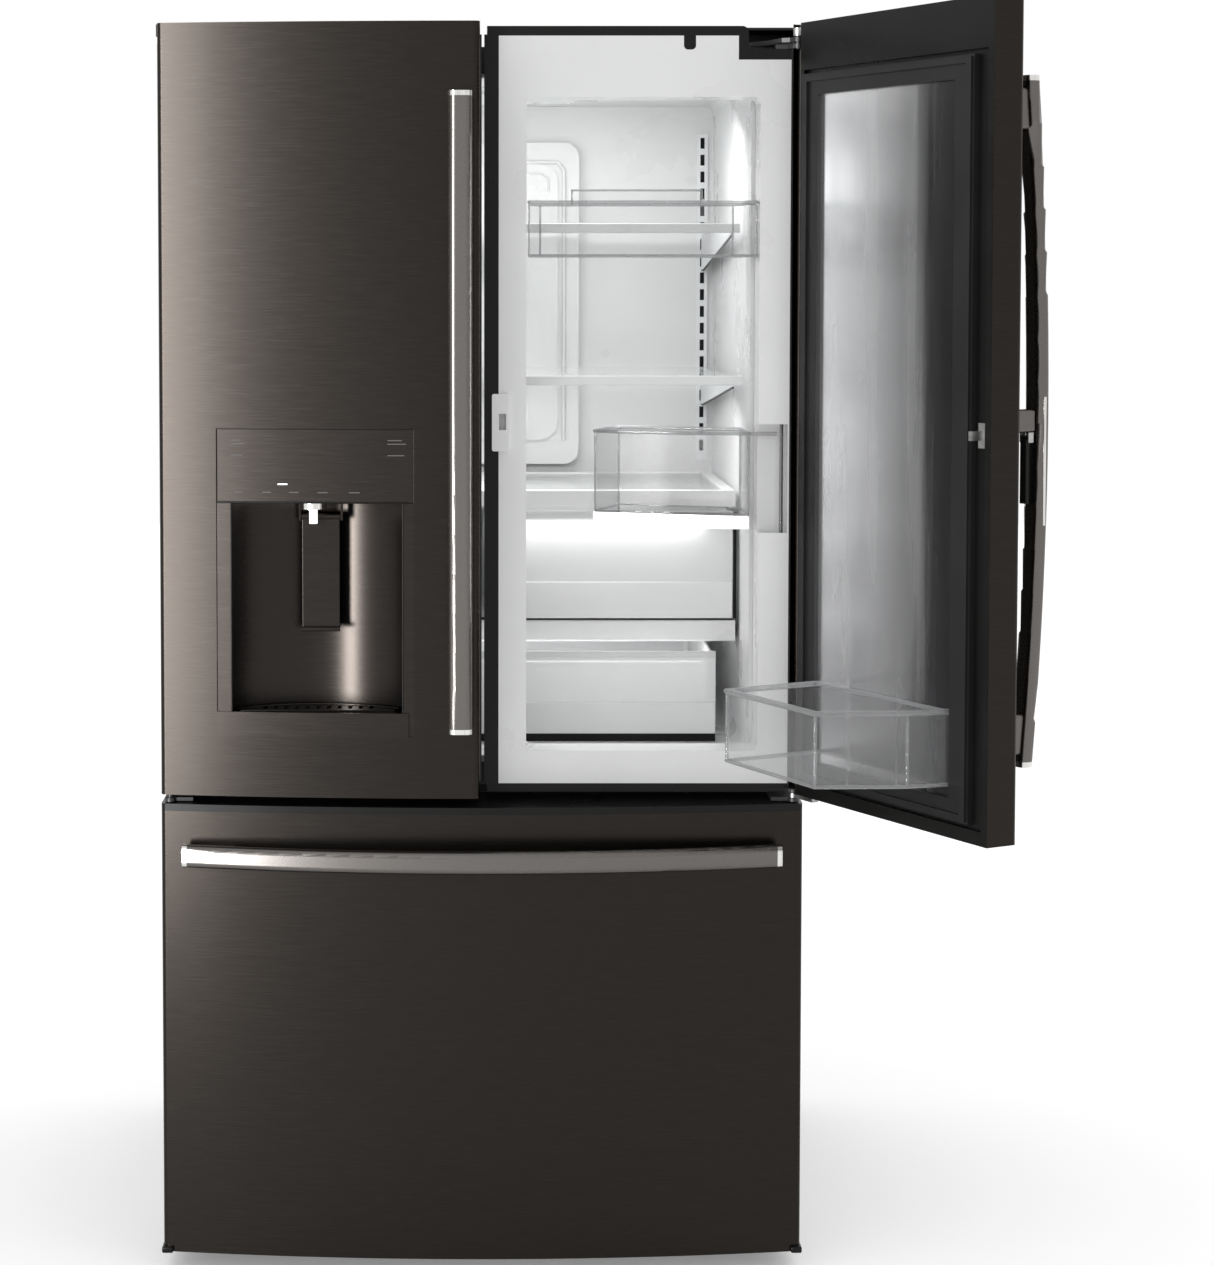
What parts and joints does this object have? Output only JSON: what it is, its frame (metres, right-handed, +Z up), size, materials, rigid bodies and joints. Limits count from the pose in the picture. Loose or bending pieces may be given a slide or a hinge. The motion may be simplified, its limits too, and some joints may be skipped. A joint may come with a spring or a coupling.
{
  "type": "french door refrigerator",
  "caption": "French door refrigerator with a door-in-door right side, shown open, an outside water and ice dispenser, and a bottom freezer drawer on slides.",
  "frame": {"origin": "on the floor, under the centre of the cabinet", "axes": "+X to the right seen from the front, +Y to the rear, +Z up"},
  "size_m": [1.1857, 1.224, 1.772],
  "materials": {
    "black_stainless": "horizontal brushed, dark coated",
    "dark_handle": "satin dark",
    "bright_metal": "satin bright",
    "reflective_panel": "brushed, reflective",
    "black_plastic": "fine texture",
    "dark_gasket": "soft satin",
    "dispenser_dark": "metallic dark",
    "white_plastic": "moulded gloss white",
    "clear_plastic": "clear moulded",
    "shelf_glass": "tempered glass",
    "cabinet_paint": "textured dark grey",
    "steel": "plain steel",
    "white_steel": "white painted",
    "foam": "rigid foam",
    "machine_steel": "black enamel",
    "coil_aluminium": "plain",
    "fan_plastic": "plain",
    "fitting_plastic": "plain"
  },
  "bodies": {
    "cabinet": {"cabinet_shell": "cabinet_paint", "rear_panels": "cabinet_paint", "base_and_feet": "machine_steel", "fresh_liner": "white_plastic", "freezer_liner": "white_plastic", "insulation": "foam", "fascia_and_hinge_covers": "black_plastic", "cabinet_hinges": "machine_steel", "air_tower": "white_plastic", "shelf_supports": "white_steel", "shelf_glass": "shelf_glass", "shelf_frames": "white_plastic", "crisper_drawers": "clear_plastic", "ceiling_fittings": "white_plastic", "compressor": "machine_steel", "condenser_set": "coil_aluminium", "evaporator": "coil_aluminium", "evaporator_cover": "white_plastic", "rear_fittings": "fitting_plastic", "fixed_slides": "steel"},
    "rollers": {"rear_rollers": "fan_plastic"},
    "condenser_rotor": {"condenser_fan": "fan_plastic"},
    "evaporator_rotor": {"evaporator_fan": "fan_plastic"},
    "left_door": {"left_door_skin": "black_stainless", "left_door_core": "black_plastic", "left_door_liner": "white_plastic", "left_door_caps": "black_plastic", "left_door_gasket": "dark_gasket", "dispenser_panel": "dispenser_dark", "dispenser_housing": "dispenser_dark", "dispenser_fittings": "dispenser_dark", "ice_compartment": "white_plastic", "left_door_bins": "clear_plastic", "left_handle": "dark_handle", "left_handle_caps": "bright_metal"},
    "flap": {"centre_flap": "white_plastic"},
    "paddle": {"dispenser_paddle": "dispenser_dark"},
    "inner_door": {"frame_panel": "white_plastic", "frame_trim": "black_plastic", "frame_lugs_and_pin": "machine_steel", "latch_catch": "white_plastic", "frame_top_bin": "clear_plastic"},
    "turning_bin": {"swing_bin": "clear_plastic"},
    "outer_door": {"outer_door_skin": "black_stainless", "outer_door_core": "black_plastic", "outer_door_caps": "black_plastic", "outer_door_metalwork": "steel", "outer_door_gasket": "dark_gasket", "outer_door_panel": "reflective_panel", "outer_door_bin": "clear_plastic", "outer_handle": "dark_handle", "outer_handle_brights": "bright_metal"},
    "trigger": {"release_trigger": "black_plastic"},
    "drawer": {"drawer_skin": "black_stainless", "drawer_core": "black_plastic", "drawer_trim": "black_plastic", "drawer_handle": "dark_handle", "drawer_handle_caps": "bright_metal", "drawer_basket": "clear_plastic", "drawer_slides": "steel"}
  },
  "joints": [
    {"name": "left_door_hinge", "type": "hinge", "parent": "cabinet", "child": "left_door", "pos_m": [-0.442, -0.45, 0], "axis": [0, 0, -1], "range_deg": [0, 120]},
    {"name": "centre_flap_fold", "type": "hinge", "parent": "left_door", "child": "flap", "pos_m": [-0.038, -0.362, 0], "axis": [0, 0, 1], "range_deg": [0, 90]},
    {"name": "paddle_hinge", "type": "hinge", "parent": "left_door", "child": "paddle", "pos_m": [0, -0.436, 1.078], "axis": [-1, 0, 0], "range_deg": [0, 7], "stiffness_Nm_per_rad": 1},
    {"name": "inner_door_hinge", "type": "hinge", "parent": "cabinet", "child": "inner_door", "pos_m": [0.442, -0.45, 0], "axis": [0, 0, 1], "range_deg": [0, 112]},
    {"name": "turning_bin_pivot", "type": "hinge", "parent": "inner_door", "child": "turning_bin", "pos_m": [0.424, -0.431, 0], "axis": [0, 0, 1], "range_deg": [0, 18]},
    {"name": "outer_door_hinge", "type": "hinge", "parent": "cabinet", "child": "outer_door", "pos_m": [0.442, -0.45, 0], "axis": [0, 0, 1], "range_deg": [-118, 8]},
    {"name": "freezer_drawer_slide", "type": "slide", "parent": "cabinet", "child": "drawer", "axis": [0, -1, 0], "range_m": [0, 0.42]},
    {"name": "condenser_fan_spin", "type": "hinge", "parent": "cabinet", "child": "condenser_rotor", "pos_m": [-0.029, 0.285, 0.12], "axis": [1, 0, 0], "continuous": true},
    {"name": "evaporator_fan_spin", "type": "hinge", "parent": "cabinet", "child": "evaporator_rotor", "pos_m": [0, 0.103, 0.45], "axis": [0, 1, 0], "continuous": true},
    {"name": "rear_roller_spin", "type": "hinge", "parent": "cabinet", "child": "rollers", "pos_m": [0, 0.3, 0.013], "axis": [1, 0, 0], "continuous": true},
    {"name": "release_trigger_hinge", "type": "hinge", "parent": "outer_door", "child": "trigger", "pos_m": [0.70048, -0.77465, 1.205], "axis": [-0.4695, 0.8829, 0], "range_deg": [0, 6], "stiffness_Nm_per_rad": 0.4}
  ],
  "couplings": [
    {"joint": "centre_flap_fold", "follows": "left_door_hinge", "ratio": 0.75}
  ]
}
